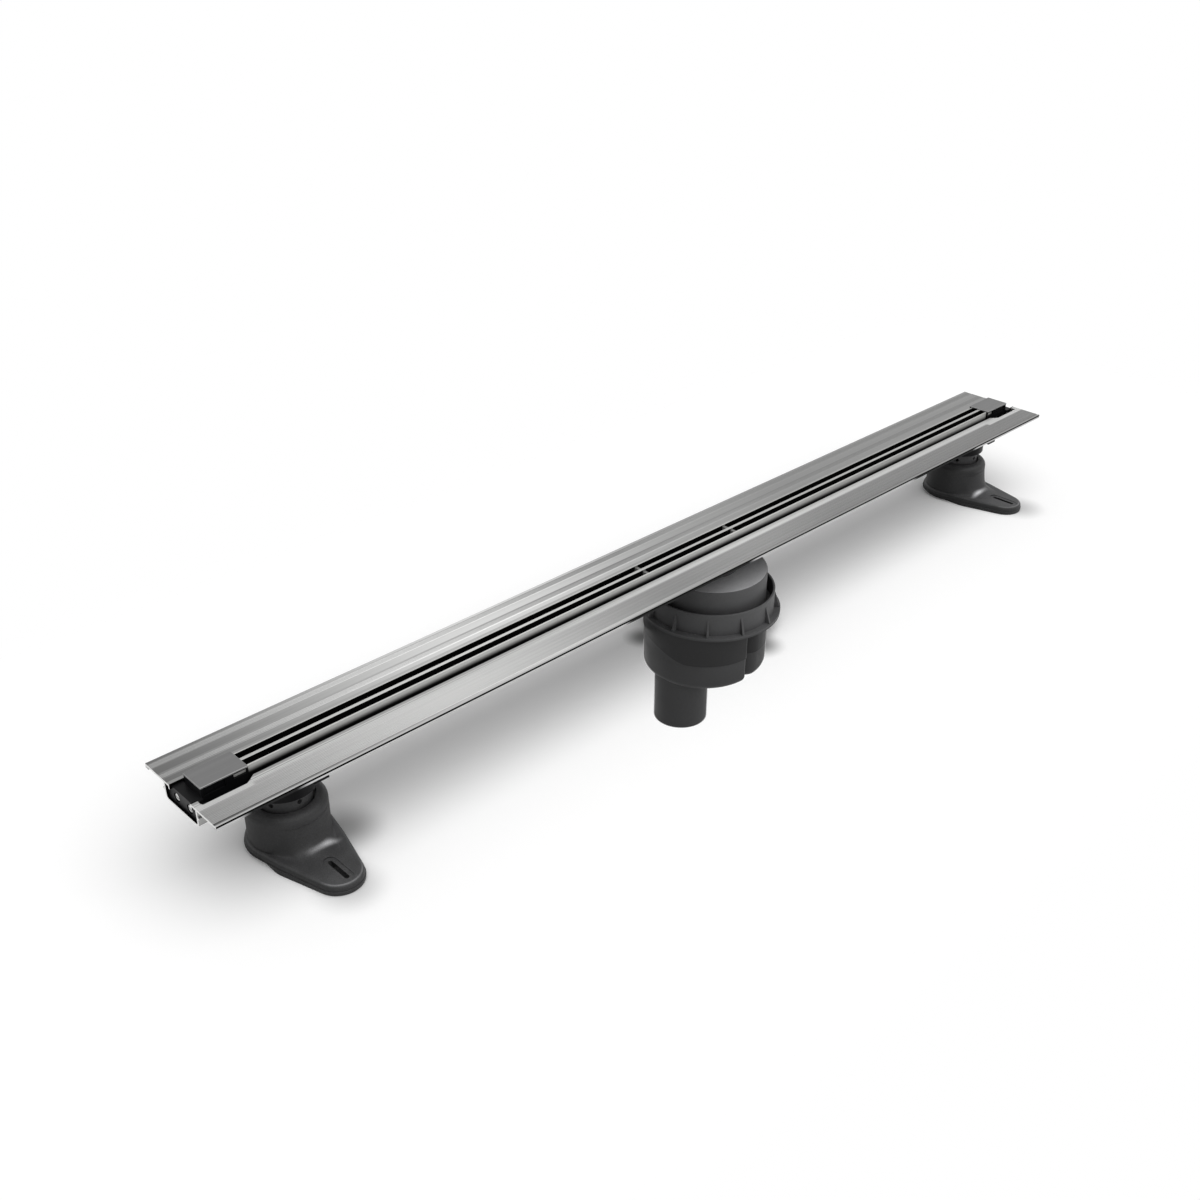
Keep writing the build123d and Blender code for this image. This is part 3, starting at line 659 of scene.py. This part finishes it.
def pit(look, floor_z):
    """1 where the floor is left open, so that the trap's lower part shows in the photograph's view."""
    along, across = look.axis("X"), look.axis("Y")
    parts = []
    for centre_x, radius, bottom in TRAP_ROUNDS:
        # The part's lower end shows on the floor this share of the way from it to the camera
        share = (floor_z - bottom) / (CAMERA_PLACE.z - bottom)
        step = (CAMERA_PLACE.xy - Vector((centre_x, 0.0))) * share
        offset = look.math("SUBTRACT", along, centre_x)
        dot = look.math("ADD", look.math("MULTIPLY", offset, step.x),
                        look.math("MULTIPLY", across, step.y))
        # 0 beside the part's own centre, 1 where its lower end shows; the outline shrinks on the way
        travel = look.math("DIVIDE", dot, step.length_squared)
        travel.node.use_clamp = True
        rest_x = look.math("SUBTRACT", offset, look.math("MULTIPLY", travel, step.x))
        rest_y = look.math("SUBTRACT", across, look.math("MULTIPLY", travel, step.y))
        reach = look.math("SUBTRACT", radius, look.math("MULTIPLY", travel, radius * share))
        depth = look.math("SUBTRACT", reach, look.length(rest_x, rest_y))
        parts.append(look.ramp(depth, -PIT_EDGE, PIT_EDGE, 0.0, 1.0))
    return look.either(*parts)


def painted_floor_shadows(look):
    """Painted soft shadows beside the trap and the boots, as a factor for the floor's tone."""
    along, across = look.axis("X"), look.axis("Y")
    parts = []
    for x, y, radius, dark in PAINTED_FLOOR_SHADOWS:
        away = look.length(look.math("SUBTRACT", along, x), look.math("SUBTRACT", across, y))
        parts.append(look.ramp(away, PAINTED_SHADOW_CORE, radius, dark, 1.0))
    return look.every(*parts)


def floor_material(end, low, high, floor_z):
    """A pale floor with soft outer limits, painted shadows beside the trap and the boots, and a pit
    round the trap.
    """
    look = Look(f"floor_{end}", (FLOOR_COLOR,) * 3, 0.9)
    solid = look.other(pit(look, floor_z))
    for axis, start, stop in (("X", low.x, high.x), ("Y", low.y, high.y)):
        place = look.axis(axis)
        solid = look.every(solid, look.ramp(place, start, start + FLOOR_FADE, 0.0, 1.0),
                           look.ramp(place, stop - FLOOR_FADE, stop, 1.0, 0.0))
    path = look.nodes.new("ShaderNodeLightPath")
    seen = look.math("MAXIMUM", path.outputs["Is Camera Ray"], path.outputs["Is Glossy Ray"])
    paint = look.nodes.new("ShaderNodeBsdfDiffuse")
    # The floor's tone is darkened by the painted shadows
    tone = look.math("MULTIPLY", look.choose(seen, FLOOR_COLOR, FLOOR_SEEN), painted_floor_shadows(look))
    look.links.new(tone, paint.inputs["Color"])
    clear = look.nodes.new("ShaderNodeBsdfTransparent")
    mix = look.nodes.new("ShaderNodeMixShader")
    look.links.new(solid, mix.inputs[0])
    look.links.new(clear.outputs[0], mix.inputs[1])
    look.links.new(paint.outputs[0], mix.inputs[2])
    look.links.new(mix.outputs[0], look.nodes["Material Output"].inputs["Surface"])
    return look.material


def make_floor(end):
    """The floor under one half of the drain. It keeps to the boot's sole at every height."""
    foot_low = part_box(f"foot_boot_{end}")[0]
    floor_z = foot_low.z - FLOOR_GAP
    low = Vector((cad_low.x - FLOOR_END - FLOOR_FADE, -FLOOR_WIDTH, floor_z))
    high = Vector((cad_high.x + FLOOR_END + FLOOR_FADE, FLOOR_WIDTH, floor_z))
    start, stop = (low.x, FLOOR_SPLIT) if end == "near" else (FLOOR_SPLIT, high.x)
    corners = [(start, low.y, floor_z), (stop, low.y, floor_z), (stop, high.y, floor_z),
               (start, high.y, floor_z)]
    mesh = bpy.data.meshes.new(f"floor_{end}")
    mesh.from_pydata(corners, [], [(0, 1, 2, 3)])
    mesh.materials.append(floor_material(end, low, high, floor_z))
    floor = bpy.data.objects.new(f"floor_{end}", mesh)
    bpy.context.scene.collection.objects.link(floor)
    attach(floor, f"{end}_sleeve")


make_camera()
make_world()
make_sun()
dress_nodes()
for end in ENDS:
    make_floor(end)
bpy.context.scene.view_settings.view_transform = "Standard"
